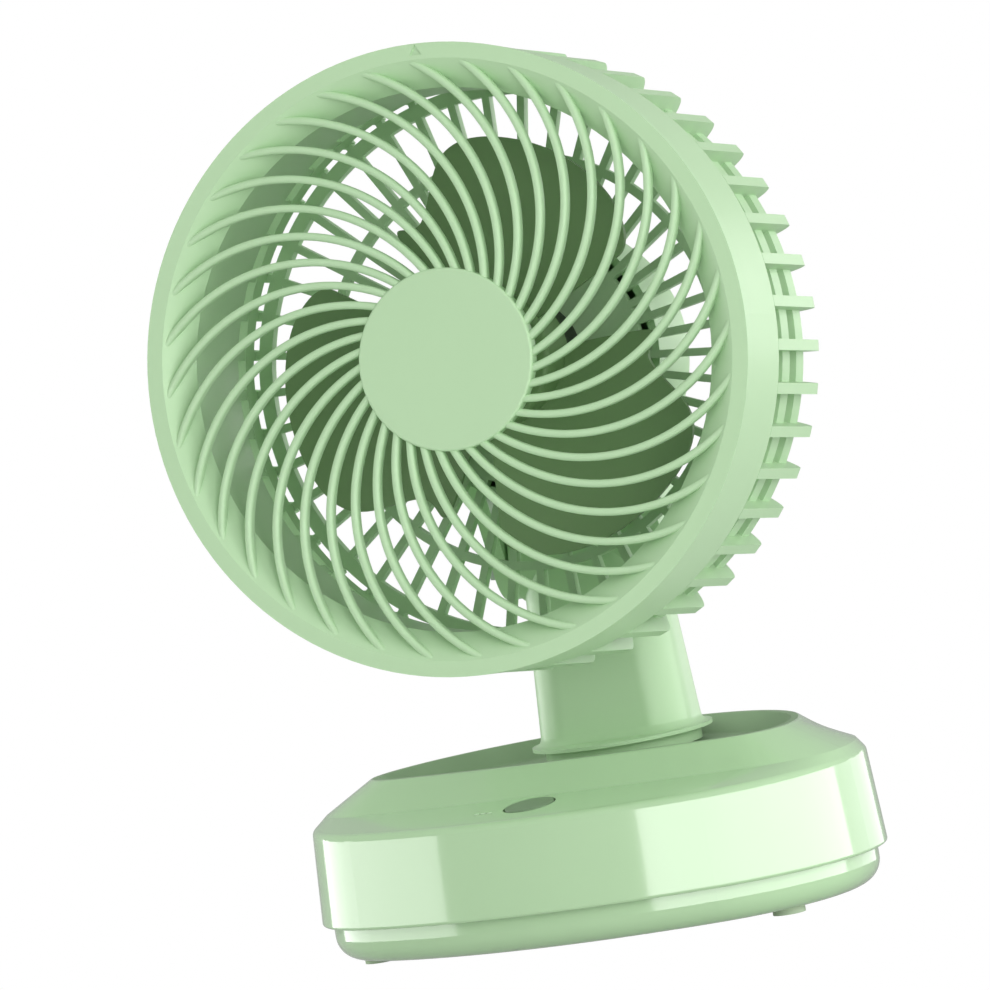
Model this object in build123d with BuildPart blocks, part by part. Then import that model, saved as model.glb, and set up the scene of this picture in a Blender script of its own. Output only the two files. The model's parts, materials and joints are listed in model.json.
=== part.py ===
"""A desk fan: a round caged head that tilts on a neck, and a neck that swivels on an oval base."""

import os
from math import acos, atan2, cos, pi, radians, sin, tan

from build123d import *

os.makedirs("parts", exist_ok=True)

# Stance of the head at rest, in degrees, and where the neck stands
head_turn = 7.8
head_tilt = 6.6
neck_setback = 28.0
tilt_axis_height = 101.5
tilt_axis_depth = 101.0
tilt_axis_drop = 52.0

# Front grille
face_radius = 85.0
face_rim = 4.3
funnel_width = 7.7
funnel_depth = 6.0
grille_wall = 1.8
band_depth = 29.0
band_draft = 0.5
duct_depth = 32.0
hub_radius = 24.6
hub_thickness = 4.0
hub_edge = 0.7
rib_count = 36
rib_width = 2.1
rib_height = 3.8
rib_set_back = 0.5
rib_sweep = 54.0
rib_lead = 5.0
rib_root_lap = 1.5
rib_tip_lap = 0.4
rim_mark_angle = 87.7
rim_mark_size = 1.9
rim_mark_depth = 0.4

# Rear grille
fin_count = 45
fin_lead = 2.6
fin_thickness = 3.0
fin_height = 6.5
fin_corner = 4.5
cage_depth = 69.0
back_rib_width = 2.1
back_rib_depth = 3.4
side_ring_inset = 4.0
side_ring_thickness = 2.7
side_ring_length = 6.5
side_ring_depths = (45.0, 57.4)
back_ring_radius = 75.0
back_ring_width = 3.8
middle_ring_radius = 56.0
middle_ring_width = 2.4
plate_radius = 34.0
socket_length = 8.0
socket_clearance = 0.2

# Grille screws, each midway between two fins
grille_screw_count = 3
grille_screw_gap = 5
grille_boss_radius = 3.1

# Impeller's blades
blade_count = 3
blade_thickness = 1.8
blade_span = 96.0
blade_start_angle = 28.0
blade_front_depth = 31.0
blade_axial_length = 14.0
blade_over = 2.0

# A blade's outer edge: radius and angle from its straight edge
blade_edge = ((47.0, 0.0), (54.0, 8.0), (57.5, 22.0), (60.3, 48.0), (57.0, 70.0), (43.0, 86.0))

# Impeller's hub, shaft and motor
impeller_hub_radius = 19.4
impeller_hub_wall = 1.5
impeller_hub_front = 29.0
impeller_hub_face = 3.0
shaft_radius = 1.5
shaft_fit = 0.03
nut_radius = 7.0
nut_length = 5.0
nut_grip = 3.5
motor_radius = 17.0
motor_wall = 1.2
motor_gap = 1.5
bearing_radius = 4.0
bearing_width = 3.0
end_cap_thickness = 3.0
magnet_thickness = 2.2
magnet_span = 140.0
air_gap = 0.6
rotor_length = 11.0
rotor_pole_count = 5
rotor_slot_width = 3.0
rotor_slot_depth = 5.0
motor_screw_circle = 12.0
motor_screw_count = 3

# Rear housing and tilt hinge
housing_radius = 38.0
housing_wall = 2.2
housing_depth = 34.0
housing_edge = 9.0
housing_screw_circle = 28.0
housing_screw_count = 3
housing_post_radius = 3.4
ear_radius = 11.0
ear_thickness = 4.5
ear_root_length = 18.0
ear_root_front = 8.0
washer_radius = 8.0
washer_thickness = 0.7
washer_play = 0.1
tilt_pin_radius = 3.0
tilt_pin_fit = 0.06
tilt_pin_head_radius = 6.0
tilt_pin_head_length = 2.6
tilt_nut_radius = 5.6
tilt_nut_length = 3.6

# Neck
neck_foot_width = 44.5
neck_foot_depth = 27.0
neck_top_width = 40.0
neck_top_depth = 24.0
neck_corner = 10.5
neck_wall = 2.2
flange_radius = 25.2
flange_thickness = 1.0
flange_blend = 2.4
neck_post_radius = 3.4
neck_screw_rises = (16.0, 36.0)
turntable_post_radius = 3.2
turntable_post_height = 10.0
turntable_screw_x = 14.5
turntable_screw_y = 9.0

# Turntable and swivel drive
collar_radius = 21.9
collar_height = 3.5
spigot_radius = 11.5
spigot_end_radius = 9.0
wire_bore_radius = 5.5
bush_wall = 2.5
bush_flange_radius = 18.0
bush_flange_thickness = 0.8
bush_fit = 0.06
bush_tail = 0.6
swivel_play = 0.1
gear_module = 0.9
gear_teeth = 42
pinion_teeth = 14
pressure_angle = 20.0
tooth_addendum = 0.8
tooth_dedendum = 1.1
tooth_spare = 0.16
gear_thickness = 5.5
gear_axial_gap = 0.4
circlip_radius = 12.0
circlip_thickness = 1.2
circlip_groove = 0.8
spigot_tail = 1.2
swivel_motor_radius = 12.0
swivel_motor_length = 19.0
swivel_motor_plate = 1.2
swivel_motor_gap = 1.0
swivel_motor_ear = 18.5
swivel_motor_ear_radius = 4.0
swivel_shaft_radius = 2.0
swivel_shaft_fit = 0.05

# Base, measured up from the surface it stands on
foot_height = 1.8
base_half_width = 81.6
base_front_depth = 54.0
base_back_depth = 67.0
base_front_corner = 46.5
base_back_corner = 55.0
rim_height = 12.0
side_wall_height = 26.0
side_draft = 1.6
base_wall = 2.4
rim_edge = 2.0
ridge_edge = 1.2
skirt_edge = 0.8
ledge_depth = 26.0
ledge_rise = 3.0
slope_side_inset = 2.2
slope_front_corner = 22.0
ridge_rise = 8.2
ridge_half_width = 63.0
ridge_front = 20.0
ridge_back = 57.0
ridge_front_corner = 15.0
ridge_back_corner = 40.0
dish_depth = 5.0
dish_lip = 2.4
dish_slope = 5.0
dish_floor_edge = 1.5
top_wall = 2.6

# Tray under the base, its posts and its feet
tray_clearance = 0.4
tray_lap = 3.0
tray_wall = 2.2
tray_edge = 6.5
post_radius = 4.0
post_spots = ((51.0, -16.0), (-51.0, -16.0), (60.0, 13.0), (-60.0, 13.0))
rubber_foot_radius = 4.5
rubber_foot_pocket = 0.6
rubber_foot_spots = ((62.5, -17.0), (-62.5, -17.0), (50.0, 30.0), (-50.0, 30.0))

# Button, board and indicator lights, measured in the sloping top of the ledge
button_radius = 6.8
button_set_back = 16.5
button_clearance = 0.55
button_proud = 0.3
button_flange = 0.9
button_flange_gap = 0.15
button_flange_thickness = 0.9
button_travel = 0.6
board_gap = 9.0
board_length = 56.0
board_width = 15.0
board_thickness = 1.6
board_post_x = 23.0
board_post_radius = 2.8
switch_size = 6.0
switch_height = 3.6
plunger_radius = 1.7
plunger_height = 0.9
light_count = 3
light_radius = 0.7
light_pitch = 2.0
light_start = 10.5
light_front = 3.6
light_fit = 0.1

# Battery, charging board and socket
cell_radius = 9.0
cell_length = 65.0
cell_pitch = 19.0
cell_nub_radius = 2.6
cell_nub_length = 1.2
battery_front_y = -24.0
holder_floor = 1.5
holder_wall = 2.4
holder_side_height = 7.0
holder_end_height = 12.0
holder_clearance = 0.3
charge_board_width = 22.0
charge_board_depth = 16.0
charge_board_rise = 17.0
charge_post_radius = 2.6
charge_post_x = 7.5
socket_width = 9.0
socket_height = 3.2
socket_depth = 8.0
socket_wall = 0.4
socket_corner = 1.5
socket_tongue = 0.7
socket_tongue_width = 6.3
socket_opening_clearance = 0.3

# Small screws
screw_shank = 1.2
screw_head_radius = 2.4
screw_head_height = 1.6
screw_fit = 0.05
screw_recess = 0.7
screw_recess_length = 2.9
screw_grip = 5.0

# Frames: the turned neck, the tilted head and their axes
turn = Plane(
    origin=(0, neck_setback, 0),
    x_dir=(cos(radians(head_turn)), sin(radians(head_turn)), 0),
    z_dir=(0, 0, 1),
)
forward = turn.z_dir * sin(radians(head_tilt)) - turn.y_dir * cos(radians(head_tilt))
head_up = turn.z_dir * cos(radians(head_tilt)) + turn.y_dir * sin(radians(head_tilt))
tilt_point = turn.from_local_coords(Vector(0, 0, tilt_axis_height))
face_centre = tilt_point + head_up * tilt_axis_drop + forward * tilt_axis_depth
face = Plane(origin=face_centre, x_dir=turn.x_dir, z_dir=forward)
fan_axis = Axis(face_centre, forward)

# The fan's own origin: on the table, under the middle of the box that the whole fan fills
box_right = face_centre.X + face_radius * (1 - forward.X**2) ** 0.5
box_front = face_centre.Y - face_radius * (1 - forward.Y**2) ** 0.5
to_origin = Location(((base_half_width - box_right) / 2, -(base_back_depth + box_front) / 2, 0))


def level(depth):
    """A plane across the fan axis, at a depth behind the grille's face."""
    return face.offset(-depth)


def radial(angle):
    """A plane through the fan axis, with the radius along x and the depth along y."""
    outward = face.x_dir * cos(radians(angle)) + face.y_dir * sin(radians(angle))
    return Plane(origin=face_centre, x_dir=outward, z_dir=outward.cross(forward * -1))


def cheek(side):
    """A plane along the head's side, with the depth along x and the height along y."""
    return Plane(origin=face_centre + turn.x_dir * side, x_dir=forward * -1, z_dir=turn.x_dir)


def rearward(depth):
    """A plane across the fan axis that faces backward, with x to the right and y downward."""
    return Plane(origin=level(depth).origin, x_dir=face.x_dir, z_dir=forward * -1)


def polar(radius, angle):
    """A flat point from a radius and an angle in degrees."""
    return (radius * cos(radians(angle)), radius * sin(radians(angle)))


def outline(plane, *points, rounds=()):
    """A straight-sided face through points on a plane; rounds gives corners and their radii."""
    with BuildSketch(plane) as flat:
        with BuildLine():
            Polyline(*points, close=True)
        make_face()
        for corner, radius in rounds:
            fillet(flat.vertices().sort_by_distance(corner)[0], radius)
    return flat.sketch


def discs(plane, radius, *spots):
    """Round faces on a plane, one at each spot, or one at its origin."""
    with BuildSketch(plane) as flat:
        with Locations(*(spots or ((0, 0),))):
            Circle(radius)
    return flat.sketch


def block(plane, width, depth, spot=(0, 0), corner=0.0):
    """A rectangular face on a plane, with round corners where a radius is given."""
    with BuildSketch(plane) as flat:
        with Locations(spot):
            if corner:
                RectangleRounded(width, depth, corner)
            else:
                Rectangle(width, depth)
    return flat.sketch


def oval(height, half_width, front, back, front_corner, back_corner):
    """An oval face at a height: six tangent arcs, with their own front and back halves."""

    def half(depth, corner):
        reach = half_width - corner
        sweep_radius = (reach**2 + depth**2 - corner**2) / (2 * (depth - corner))
        lean = atan2(sweep_radius - depth, reach)
        join = (reach + corner * cos(lean), corner * sin(lean))
        bend = (reach + corner * cos(lean / 2), corner * sin(lean / 2))
        return join, bend

    (front_x, front_y), (front_bend_x, front_bend_y) = half(front, front_corner)
    (back_x, back_y), (back_bend_x, back_bend_y) = half(back, back_corner)
    with BuildSketch(Plane.XY.offset(height)) as flat:
        with BuildLine():
            ThreePointArc((-front_x, -front_y), (0, -front), (front_x, -front_y))
            ThreePointArc((front_x, -front_y), (front_bend_x, -front_bend_y), (half_width, 0))
            ThreePointArc((half_width, 0), (back_bend_x, back_bend_y), (back_x, back_y))
            ThreePointArc((back_x, back_y), (0, back), (-back_x, back_y))
            ThreePointArc((-back_x, back_y), (-back_bend_x, back_bend_y), (-half_width, 0))
            ThreePointArc((-half_width, 0), (-front_bend_x, -front_bend_y), (-front_x, -front_y))
        make_face()
    return flat.sketch


def base_oval(height, inset):
    """The base's plan at a height, drawn in by an inset."""
    return oval(
        height,
        base_half_width - inset,
        base_front_depth - inset,
        base_back_depth - inset,
        base_front_corner - inset,
        base_back_corner - inset,
    )


def slope_oval(height, inset):
    """The foot of the slope round the dish, drawn in by an inset."""
    side = side_draft + slope_side_inset + inset
    return oval(
        height,
        base_half_width - side,
        base_front_depth - side_draft - ledge_depth - inset,
        base_back_depth - side,
        slope_front_corner - inset,
        base_back_corner - side,
    )


def ridge_oval(height, inset):
    """The ridge round the dish, drawn in by an inset."""
    return oval(
        height,
        ridge_half_width - inset,
        ridge_front - inset,
        ridge_back - inset,
        ridge_front_corner - inset,
        ridge_back_corner - inset,
    )


def edges_at(part, height):
    """The edges of a part that lie flat at a height."""
    flat_edges = [edge for edge in part.edges() if edge.bounding_box().size.Z < 0.01]
    return ShapeList(edge for edge in flat_edges if abs(edge.center().Z - height) < 0.01)


def involute(angle):
    """The involute of an angle in radians."""
    return tan(angle) - angle


def gear_face(plane, teeth, lead):
    """A spur gear's face with a tooth on the x axis, turned by a lead in degrees."""
    pitch = gear_module * teeth / 2
    root = pitch - tooth_dedendum * gear_module
    tip = pitch + tooth_addendum * gear_module
    base = pitch * cos(radians(pressure_angle))
    start = max(base, root)
    base_half = pi / (2 * teeth) - tooth_spare / (2 * pitch) + involute(radians(pressure_angle))

    def point(radius, centre, side):
        angle = base_half - involute(acos(min(1.0, base / radius)))
        return polar(radius, lead + centre + side * angle * 180 / pi)

    with BuildSketch(plane) as flat:
        with BuildLine():
            for tooth in range(teeth):
                centre = 360.0 * tooth / teeth
                following = centre + 360.0 / teeth
                middle = (start + tip) / 2
                rise = [point(radius, centre, -1) for radius in (start, middle, tip)]
                fall = [point(radius, centre, 1) for radius in (tip, middle, start)]
                root_angle = lead + centre + base_half * 180 / pi
                next_angle = lead + following - base_half * 180 / pi
                ThreePointArc(*rise)
                Line(rise[-1], fall[0])
                ThreePointArc(*fall)
                Polyline(
                    fall[-1],
                    polar(root, root_angle),
                    polar(root, next_angle),
                    point(start, following, -1),
                )
        make_face()
    return flat.sketch


def screw(length):
    """A small round-headed screw: its head stands on z 0 and its shank goes down."""
    with BuildPart() as small_screw:
        Cylinder(screw_head_radius, screw_head_height, align=(Align.CENTER, Align.CENTER, Align.MIN))
        Cylinder(screw_shank, length, align=(Align.CENTER, Align.CENTER, Align.MAX))
        for turned in (0, 90):
            with Locations(Location((0, 0, screw_head_height), (0, 0, turned))):
                Box(
                    screw_recess_length,
                    screw_recess,
                    screw_recess,
                    align=(Align.CENTER, Align.CENTER, Align.MAX),
                    mode=Mode.SUBTRACT,
                )
    return small_screw.part


def export(builder, name):
    """Moves a finished piece to the fan's own origin, labels it and writes its file."""
    piece = builder.part.moved(to_origin)
    piece.label = name
    export_step(piece, f"parts/{name}.step")


# Front grille: rim, funnel, air duct, side band, hub and spiral ribs in one moulding
funnel_radius = face_radius - face_rim
duct_radius = funnel_radius - funnel_width
band_radius = face_radius - band_draft
band_inner = band_radius - grille_wall
rib_start = hub_radius - rib_root_lap
rib_end = funnel_radius - rib_tip_lap
rib_depth = rib_set_back + rib_height / 2
boss_end = band_depth - socket_length
boss_circle = band_inner - grille_boss_radius
grille_angles = [
    fin_lead + 360 / fin_count * (grille_screw_gap + 0.5) + 360 / grille_screw_count * step
    for step in range(grille_screw_count)
]
grille_spots = [polar(boss_circle, angle) for angle in grille_angles]

with BuildPart() as rib:
    with BuildLine(level(rib_depth)) as rib_path:
        ThreePointArc(
            polar(rib_start, 0),
            polar((rib_start + rib_end) / 2, rib_sweep / 2),
            polar(rib_end, rib_sweep),
        )
    with BuildSketch(Plane(origin=rib_path.line @ 0, x_dir=forward, z_dir=rib_path.line % 0)):
        SlotOverall(rib_height, rib_width)
    sweep(path=rib_path.line)

with BuildPart() as front_grille:
    revolve(
        outline(
            radial(0),
            (face_radius, 0),
            (band_radius, band_depth),
            (band_inner, band_depth),
            (band_inner, grille_wall),
            (funnel_radius, grille_wall),
            (duct_radius + grille_wall, funnel_depth + grille_wall / 2),
            (duct_radius + grille_wall, duct_depth),
            (duct_radius, duct_depth),
            (duct_radius, funnel_depth),
            (funnel_radius, 0),
        ),
        axis=fan_axis,
    )
    extrude(discs(level(boss_end), grille_boss_radius, *grille_spots), amount=boss_end - grille_wall / 2)
    revolve(
        outline(radial(0), (duct_radius, 0), (funnel_radius, 0), (duct_radius, funnel_depth)),
        axis=fan_axis,
        mode=Mode.SUBTRACT,
    )
    with BuildSketch(level(0)):
        with PolarLocations(face_radius - face_rim / 2, 1, start_angle=rim_mark_angle):
            RegularPolygon(rim_mark_size, 3)
    extrude(amount=-rim_mark_depth, mode=Mode.SUBTRACT)
    extrude(discs(level(0), hub_radius), amount=-hub_thickness)
    hub_rim = edges().filter_by(GeomType.CIRCLE).filter_by(lambda e: abs(e.radius - hub_radius) < 0.01)
    fillet(hub_rim.sort_by_distance(face_centre)[0], hub_edge)
    for step in range(rib_count):
        add(rib.part.rotate(fan_axis, rib_lead + 360 / rib_count * step))
    extrude(
        discs(level(boss_end), screw_shank + screw_fit, *grille_spots),
        amount=screw_grip,
        mode=Mode.SUBTRACT,
    )
export(front_grille, "front_grille")

# Rear grille: socket ring inside the band, side fins and rings, back ribs and motor plate
socket_radius = band_inner - socket_clearance
fin_inner = band_radius - fin_height
fin_start = band_depth + socket_clearance
back_front = cage_depth - back_rib_depth
side_ring_outer = band_radius - side_ring_inset
socket_back = fin_start + grille_wall
motor_screw_spots = [
    polar(motor_screw_circle, 90 + 360 / motor_screw_count * step) for step in range(motor_screw_count)
]
housing_screw_spots = [
    polar(housing_screw_circle, 90 + 360 / housing_screw_count * step) for step in range(housing_screw_count)
]

with BuildPart() as rear_grille:
    revolve(
        outline(
            radial(0),
            (fin_inner, band_depth - socket_length),
            (socket_radius, band_depth - socket_length),
            (socket_radius, socket_back),
            (fin_inner, socket_back),
        ),
        axis=fan_axis,
    )
    for step in range(fin_count):
        fin = outline(
            radial(fin_lead + 360 / fin_count * step),
            (fin_inner, fin_start),
            (band_radius, fin_start),
            (band_radius, cage_depth),
            (fin_inner, cage_depth),
            rounds=(((band_radius, cage_depth), fin_corner),),
        )
        extrude(fin, amount=fin_thickness / 2, both=True)
    for ring_depth in side_ring_depths:
        revolve(
            outline(
                radial(0),
                (side_ring_outer - side_ring_thickness, ring_depth),
                (side_ring_outer, ring_depth),
                (side_ring_outer, ring_depth + side_ring_length),
                (side_ring_outer - side_ring_thickness, ring_depth + side_ring_length),
            ),
            axis=fan_axis,
        )
    with BuildSketch(level(cage_depth)):
        for ring_radius, ring_width in (
            (back_ring_radius, back_ring_width),
            (middle_ring_radius, middle_ring_width),
        ):
            Circle(ring_radius + ring_width / 2)
            Circle(ring_radius - ring_width / 2, mode=Mode.SUBTRACT)
        with PolarLocations((plate_radius + fin_inner) / 2, fin_count, start_angle=fin_lead):
            Rectangle(fin_inner - plate_radius + 2 * grille_wall, back_rib_width)
        Circle(plate_radius)
    extrude(amount=back_rib_depth)
    extrude(
        discs(level(socket_back), screw_shank + screw_fit, *grille_spots),
        amount=socket_back - boss_end,
        mode=Mode.SUBTRACT,
    )
    extrude(
        discs(level(cage_depth), screw_shank + screw_fit, *motor_screw_spots, *housing_screw_spots),
        amount=back_rib_depth,
        mode=Mode.SUBTRACT,
    )
export(rear_grille, "rear_grille")

with BuildPart(rearward(socket_back)) as grille_screws:
    with Locations(*[(x, -y) for x, y in grille_spots]):
        add(screw(socket_back - boss_end + screw_grip))
export(grille_screws, "grille_screws")

# Impeller: petal blades twisted round a cup that covers the front of the motor
hub_back = blade_front_depth + blade_axial_length + blade_thickness
hub_inside = impeller_hub_front + impeller_hub_face
blade_root = impeller_hub_radius - impeller_hub_wall
shaft_front = impeller_hub_front - nut_grip
motor_front = hub_inside + motor_gap
motor_back = cage_depth - back_rib_depth
blade_sections = 7
blade_reach = max(radius for radius, angle in blade_edge) + blade_over

with BuildPart() as blade:
    twist = []
    for step in range(blade_sections):
        way = step / (blade_sections - 1)
        section_depth = blade_front_depth + blade_axial_length * way
        twist.append(
            outline(
                radial(blade_start_angle - blade_over + (blade_span + 2 * blade_over) * way),
                (blade_root, section_depth),
                (blade_reach, section_depth),
                (blade_reach, section_depth + blade_thickness),
                (blade_root, section_depth + blade_thickness),
            )
        )
    loft(twist)
    with BuildSketch(level(hub_back)):
        with BuildLine():
            edge_points = [polar(radius, blade_start_angle + angle) for radius, angle in blade_edge]
            root_end = polar(blade_root, blade_start_angle + blade_span)
            Line((0, 0), edge_points[0])
            inward = polar(-1, blade_start_angle + blade_span)
            Spline(*edge_points, root_end, tangents=(edge_points[0], inward))
            Line(root_end, (0, 0))
        make_face()
    extrude(amount=hub_back - blade_front_depth, mode=Mode.INTERSECT)

with BuildPart() as impeller:
    revolve(
        outline(
            radial(0),
            (shaft_radius, impeller_hub_front),
            (impeller_hub_radius, impeller_hub_front),
            (impeller_hub_radius, hub_back),
            (blade_root, hub_back),
            (blade_root, hub_inside),
            (shaft_radius, hub_inside),
            rounds=(((impeller_hub_radius, impeller_hub_front), impeller_hub_wall),),
        ),
        axis=fan_axis,
    )
    for step in range(blade_count):
        add(blade.part.rotate(fan_axis, 360 / blade_count * step))
    extrude(discs(level(hub_back), blade_root), amount=hub_back - hub_inside, mode=Mode.SUBTRACT)
export(impeller, "impeller")

nut_front = impeller_hub_front - nut_length
with BuildPart() as impeller_nut:
    revolve(
        outline(
            radial(0),
            (0, nut_front),
            (nut_radius, nut_front),
            (nut_radius, impeller_hub_front),
            (shaft_radius, impeller_hub_front),
            (shaft_radius, shaft_front),
            (0, shaft_front),
            rounds=(((nut_radius, nut_front), nut_length / 2),),
        ),
        axis=fan_axis,
    )
export(impeller_nut, "impeller_nut")

with BuildPart() as motor_shaft:
    extrude(discs(level(shaft_front), shaft_radius), amount=shaft_front - motor_back + motor_wall)
export(motor_shaft, "motor_shaft")

# Motor: can with magnets, end cap, bearings and a slotted rotor on the shaft
can_inner = motor_radius - motor_wall
magnet_inner = can_inner - magnet_thickness
rotor_radius = magnet_inner - air_gap
bearing_bore = shaft_radius + shaft_fit
cap_front = motor_back - end_cap_thickness
rotor_front = (motor_front + bearing_width + cap_front - rotor_length) / 2

with BuildPart() as motor_can:
    revolve(
        outline(
            radial(0),
            (bearing_radius, motor_front),
            (motor_radius, motor_front),
            (motor_radius, motor_back),
            (can_inner, motor_back),
            (can_inner, motor_front + motor_wall),
            (bearing_radius + motor_wall, motor_front + motor_wall),
            (bearing_radius + motor_wall, motor_front + bearing_width),
            (bearing_radius, motor_front + bearing_width),
            rounds=(((motor_radius, motor_front), motor_wall),),
        ),
        axis=fan_axis,
    )
export(motor_can, "motor_can")

with BuildPart() as motor_end_cap:
    revolve(
        outline(
            radial(0),
            (bearing_radius, cap_front),
            (can_inner, cap_front),
            (can_inner, motor_back),
            (bearing_radius, motor_back),
        ),
        axis=fan_axis,
    )
    extrude(
        discs(level(motor_back), screw_shank + screw_fit, *motor_screw_spots),
        amount=end_cap_thickness,
        mode=Mode.SUBTRACT,
    )
export(motor_end_cap, "motor_end_cap")

with BuildPart() as motor_bearings:
    for bearing_front in (motor_front, cap_front):
        revolve(
            outline(
                radial(0),
                (bearing_bore, bearing_front),
                (bearing_radius, bearing_front),
                (bearing_radius, bearing_front + bearing_width),
                (bearing_bore, bearing_front + bearing_width),
            ),
            axis=fan_axis,
        )
export(motor_bearings, "motor_bearings")

with BuildPart() as motor_magnets:
    for start_angle in (0, 180):
        revolve(
            outline(
                radial(start_angle),
                (magnet_inner, rotor_front),
                (can_inner, rotor_front),
                (can_inner, rotor_front + rotor_length),
                (magnet_inner, rotor_front + rotor_length),
            ),
            axis=fan_axis,
            revolution_arc=magnet_span,
        )
export(motor_magnets, "motor_magnets")

with BuildPart() as motor_rotor:
    with BuildSketch(level(rotor_front)):
        Circle(rotor_radius)
        with PolarLocations(rotor_radius, rotor_pole_count):
            Rectangle(2 * rotor_slot_depth, rotor_slot_width, mode=Mode.SUBTRACT)
        Circle(shaft_radius, mode=Mode.SUBTRACT)
    extrude(amount=-rotor_length)
export(motor_rotor, "motor_rotor")

with BuildPart(rearward(cage_depth)) as motor_screws:
    with Locations(*[(x, -y) for x, y in motor_screw_spots]):
        add(screw(back_rib_depth + end_cap_thickness - screw_fit))
export(motor_screws, "motor_screws")

# Rear housing: a round pod behind the cage, with two ears that reach down to the tilt pin
housing_back = cage_depth + housing_depth
housing_inner = housing_radius - housing_wall
ear_inner = neck_top_width / 2 + washer_thickness + washer_play
ear_outer = ear_inner + ear_thickness
ear_root_depth = cage_depth + ear_root_front + ear_root_length / 2
ear_root_drop = (housing_radius**2 - ear_outer**2) ** 0.5
hinge_spot = (tilt_axis_depth, -tilt_axis_drop)

with BuildPart() as housing_room:
    revolve(
        outline(
            radial(0),
            (0, cage_depth),
            (housing_inner, cage_depth),
            (housing_inner, housing_back - housing_wall),
            (0, housing_back - housing_wall),
            rounds=(((housing_inner, housing_back - housing_wall), housing_edge - housing_wall),),
        ),
        axis=fan_axis,
    )
    extrude(
        discs(level(cage_depth), housing_post_radius, *housing_screw_spots),
        amount=-housing_depth,
        mode=Mode.SUBTRACT,
    )

with BuildPart() as rear_housing:
    revolve(
        outline(
            radial(0),
            (0, cage_depth),
            (housing_radius, cage_depth),
            (housing_radius, housing_back),
            (0, housing_back),
            rounds=(((housing_radius, housing_back), housing_edge),),
        ),
        axis=fan_axis,
    )
    for side in (-ear_outer, ear_inner):
        with BuildSketch(cheek(side)):
            with Locations(hinge_spot):
                Circle(ear_radius)
            with Locations((ear_root_depth, -ear_root_drop)):
                Rectangle(ear_root_length, 2 * housing_wall)
            make_hull()
        extrude(amount=ear_thickness)
    add(housing_room.part, mode=Mode.SUBTRACT)
    extrude(
        discs(cheek(-ear_outer), tilt_pin_radius, hinge_spot),
        amount=2 * ear_outer,
        mode=Mode.SUBTRACT,
    )
    extrude(
        discs(level(cage_depth), screw_shank + screw_fit, *housing_screw_spots),
        amount=-screw_grip - screw_fit,
        mode=Mode.SUBTRACT,
    )
export(rear_housing, "rear_housing")

with BuildPart(level(motor_back)) as housing_screws:
    with Locations(*housing_screw_spots):
        add(screw(back_rib_depth + screw_grip))
export(housing_screws, "housing_screws")

pin_end = ear_outer + tilt_nut_length
with BuildPart() as tilt_pin:
    extrude(discs(cheek(-pin_end), tilt_pin_radius, hinge_spot), amount=pin_end + ear_outer)
    extrude(discs(cheek(ear_outer), tilt_pin_head_radius, hinge_spot), amount=tilt_pin_head_length)
    fillet(faces().sort_by(Axis(tilt_point, turn.x_dir))[-1].edges(), tilt_pin_head_length / 2)
export(tilt_pin, "tilt_pin")

with BuildPart() as tilt_nut:
    with BuildSketch(cheek(-ear_outer)):
        with Locations(hinge_spot):
            RegularPolygon(tilt_nut_radius, 6)
            Circle(tilt_pin_radius, mode=Mode.SUBTRACT)
    extrude(amount=-tilt_nut_length)
export(tilt_nut, "tilt_nut")

# Neck: two shells screwed together round the tilt barrel and the wires
dish_floor = rim_height + side_wall_height + ledge_rise + ridge_rise - dish_depth
floor_under = dish_floor - top_wall
collar_bottom = dish_floor + bush_flange_thickness + swivel_play
flange_bottom = collar_bottom + collar_height
barrel_radius = neck_top_depth / 2
shoulder = tilt_axis_height - barrel_radius
room_top = shoulder - neck_wall
room_part = (room_top - flange_bottom) / (shoulder - flange_bottom)
room_top_width = neck_foot_width + (neck_top_width - neck_foot_width) * room_part - 2 * neck_wall
room_top_depth = neck_foot_depth + (neck_top_depth - neck_foot_depth) * room_part - 2 * neck_wall
room_corner = neck_corner - neck_wall
split_plane = Plane(origin=turn.origin, x_dir=turn.x_dir, z_dir=turn.y_dir)
neck_screw_spots = [(0, -flange_bottom - rise) for rise in neck_screw_rises]
neck_seat = neck_top_depth / 2 - 2 * screw_head_height
turntable_spots = [
    (x, y)
    for x in (-turntable_screw_x, turntable_screw_x)
    for y in (-turntable_screw_y, turntable_screw_y)
]

with BuildPart() as neck_room:
    loft(
        [
            block(
                turn.offset(flange_bottom),
                neck_foot_width - 2 * neck_wall,
                neck_foot_depth - 2 * neck_wall,
                corner=room_corner,
            ),
            block(turn.offset(room_top), room_top_width, room_top_depth, corner=room_corner),
        ],
        ruled=True,
    )
    extrude(
        discs(turn.offset(flange_bottom), turntable_post_radius, *turntable_spots),
        amount=turntable_post_height,
        mode=Mode.SUBTRACT,
    )
    extrude(
        discs(split_plane, neck_post_radius, *neck_screw_spots),
        amount=neck_foot_depth,
        both=True,
        mode=Mode.SUBTRACT,
    )

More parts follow.
